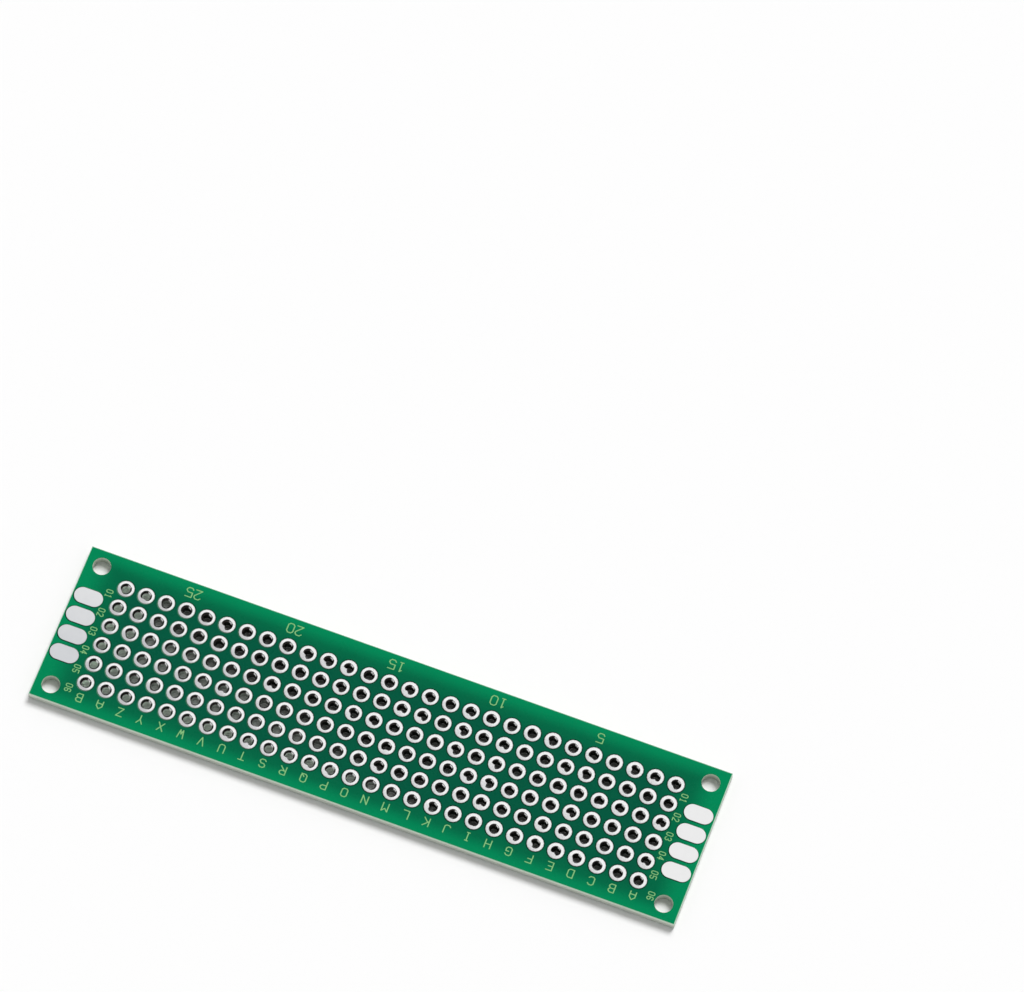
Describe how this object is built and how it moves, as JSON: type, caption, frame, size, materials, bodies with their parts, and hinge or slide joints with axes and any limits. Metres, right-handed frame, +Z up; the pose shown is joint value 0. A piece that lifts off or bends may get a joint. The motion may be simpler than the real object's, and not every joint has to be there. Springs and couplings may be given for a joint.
{
  "type": "prototype board",
  "caption": "Narrow double-sided prototype board: a grid of plated-through solder holes, oblong end lands and corner mounting holes in green-masked glass-epoxy.",
  "frame": {"origin": "under the board's middle, on the plane that the solder rings of the underside stand on", "axes": "+X along the board from column A to the last column, +Y towards the edge with the column letters, +Z up out of the lettered face"},
  "size_m": [0.08, 0.02, 0.0013],
  "materials": {
    "glass_epoxy": "glass-epoxy laminate, pale yellow-green, sawn and slightly rough on its cut edges",
    "solder_mask": "translucent green solder mask, glossy",
    "tinned_copper": "hot-air-levelled tin on copper, bright silver, softly uneven"
  },
  "bodies": {
    "root": {"end_land_left_bottom_row_2": "tinned_copper", "end_land_left_bottom_row_3": "tinned_copper", "end_land_left_bottom_row_4": "tinned_copper", "end_land_left_bottom_row_5": "tinned_copper", "end_land_left_top_row_2": "tinned_copper", "end_land_left_top_row_3": "tinned_copper", "end_land_left_top_row_4": "tinned_copper", "end_land_left_top_row_5": "tinned_copper", "end_land_right_bottom_row_2": "tinned_copper", "end_land_right_bottom_row_3": "tinned_copper", "end_land_right_bottom_row_4": "tinned_copper", "end_land_right_bottom_row_5": "tinned_copper", "end_land_right_top_row_2": "tinned_copper", "end_land_right_top_row_3": "tinned_copper", "end_land_right_top_row_4": "tinned_copper", "end_land_right_top_row_5": "tinned_copper", "plated_holes_column_01": "tinned_copper", "plated_holes_column_02": "tinned_copper", "plated_holes_column_03": "tinned_copper", "plated_holes_column_04": "tinned_copper", "plated_holes_column_05": "tinned_copper", "plated_holes_column_06": "tinned_copper", "plated_holes_column_07": "tinned_copper", "plated_holes_column_08": "tinned_copper", "plated_holes_column_09": "tinned_copper", "plated_holes_column_10": "tinned_copper", "plated_holes_column_11": "tinned_copper", "plated_holes_column_12": "tinned_copper", "plated_holes_column_13": "tinned_copper", "plated_holes_column_14": "tinned_copper", "plated_holes_column_15": "tinned_copper", "plated_holes_column_16": "tinned_copper", "plated_holes_column_17": "tinned_copper", "plated_holes_column_18": "tinned_copper", "plated_holes_column_19": "tinned_copper", "plated_holes_column_20": "tinned_copper", "plated_holes_column_21": "tinned_copper", "plated_holes_column_22": "tinned_copper", "plated_holes_column_23": "tinned_copper", "plated_holes_column_24": "tinned_copper", "plated_holes_column_25": "tinned_copper", "plated_holes_column_26": "tinned_copper", "plated_holes_column_27": "tinned_copper", "plated_holes_column_28": "tinned_copper", "substrate": "glass_epoxy", "top_solder_mask": "solder_mask", "underside_solder_mask": "solder_mask"}
  },
  "joints": []
}
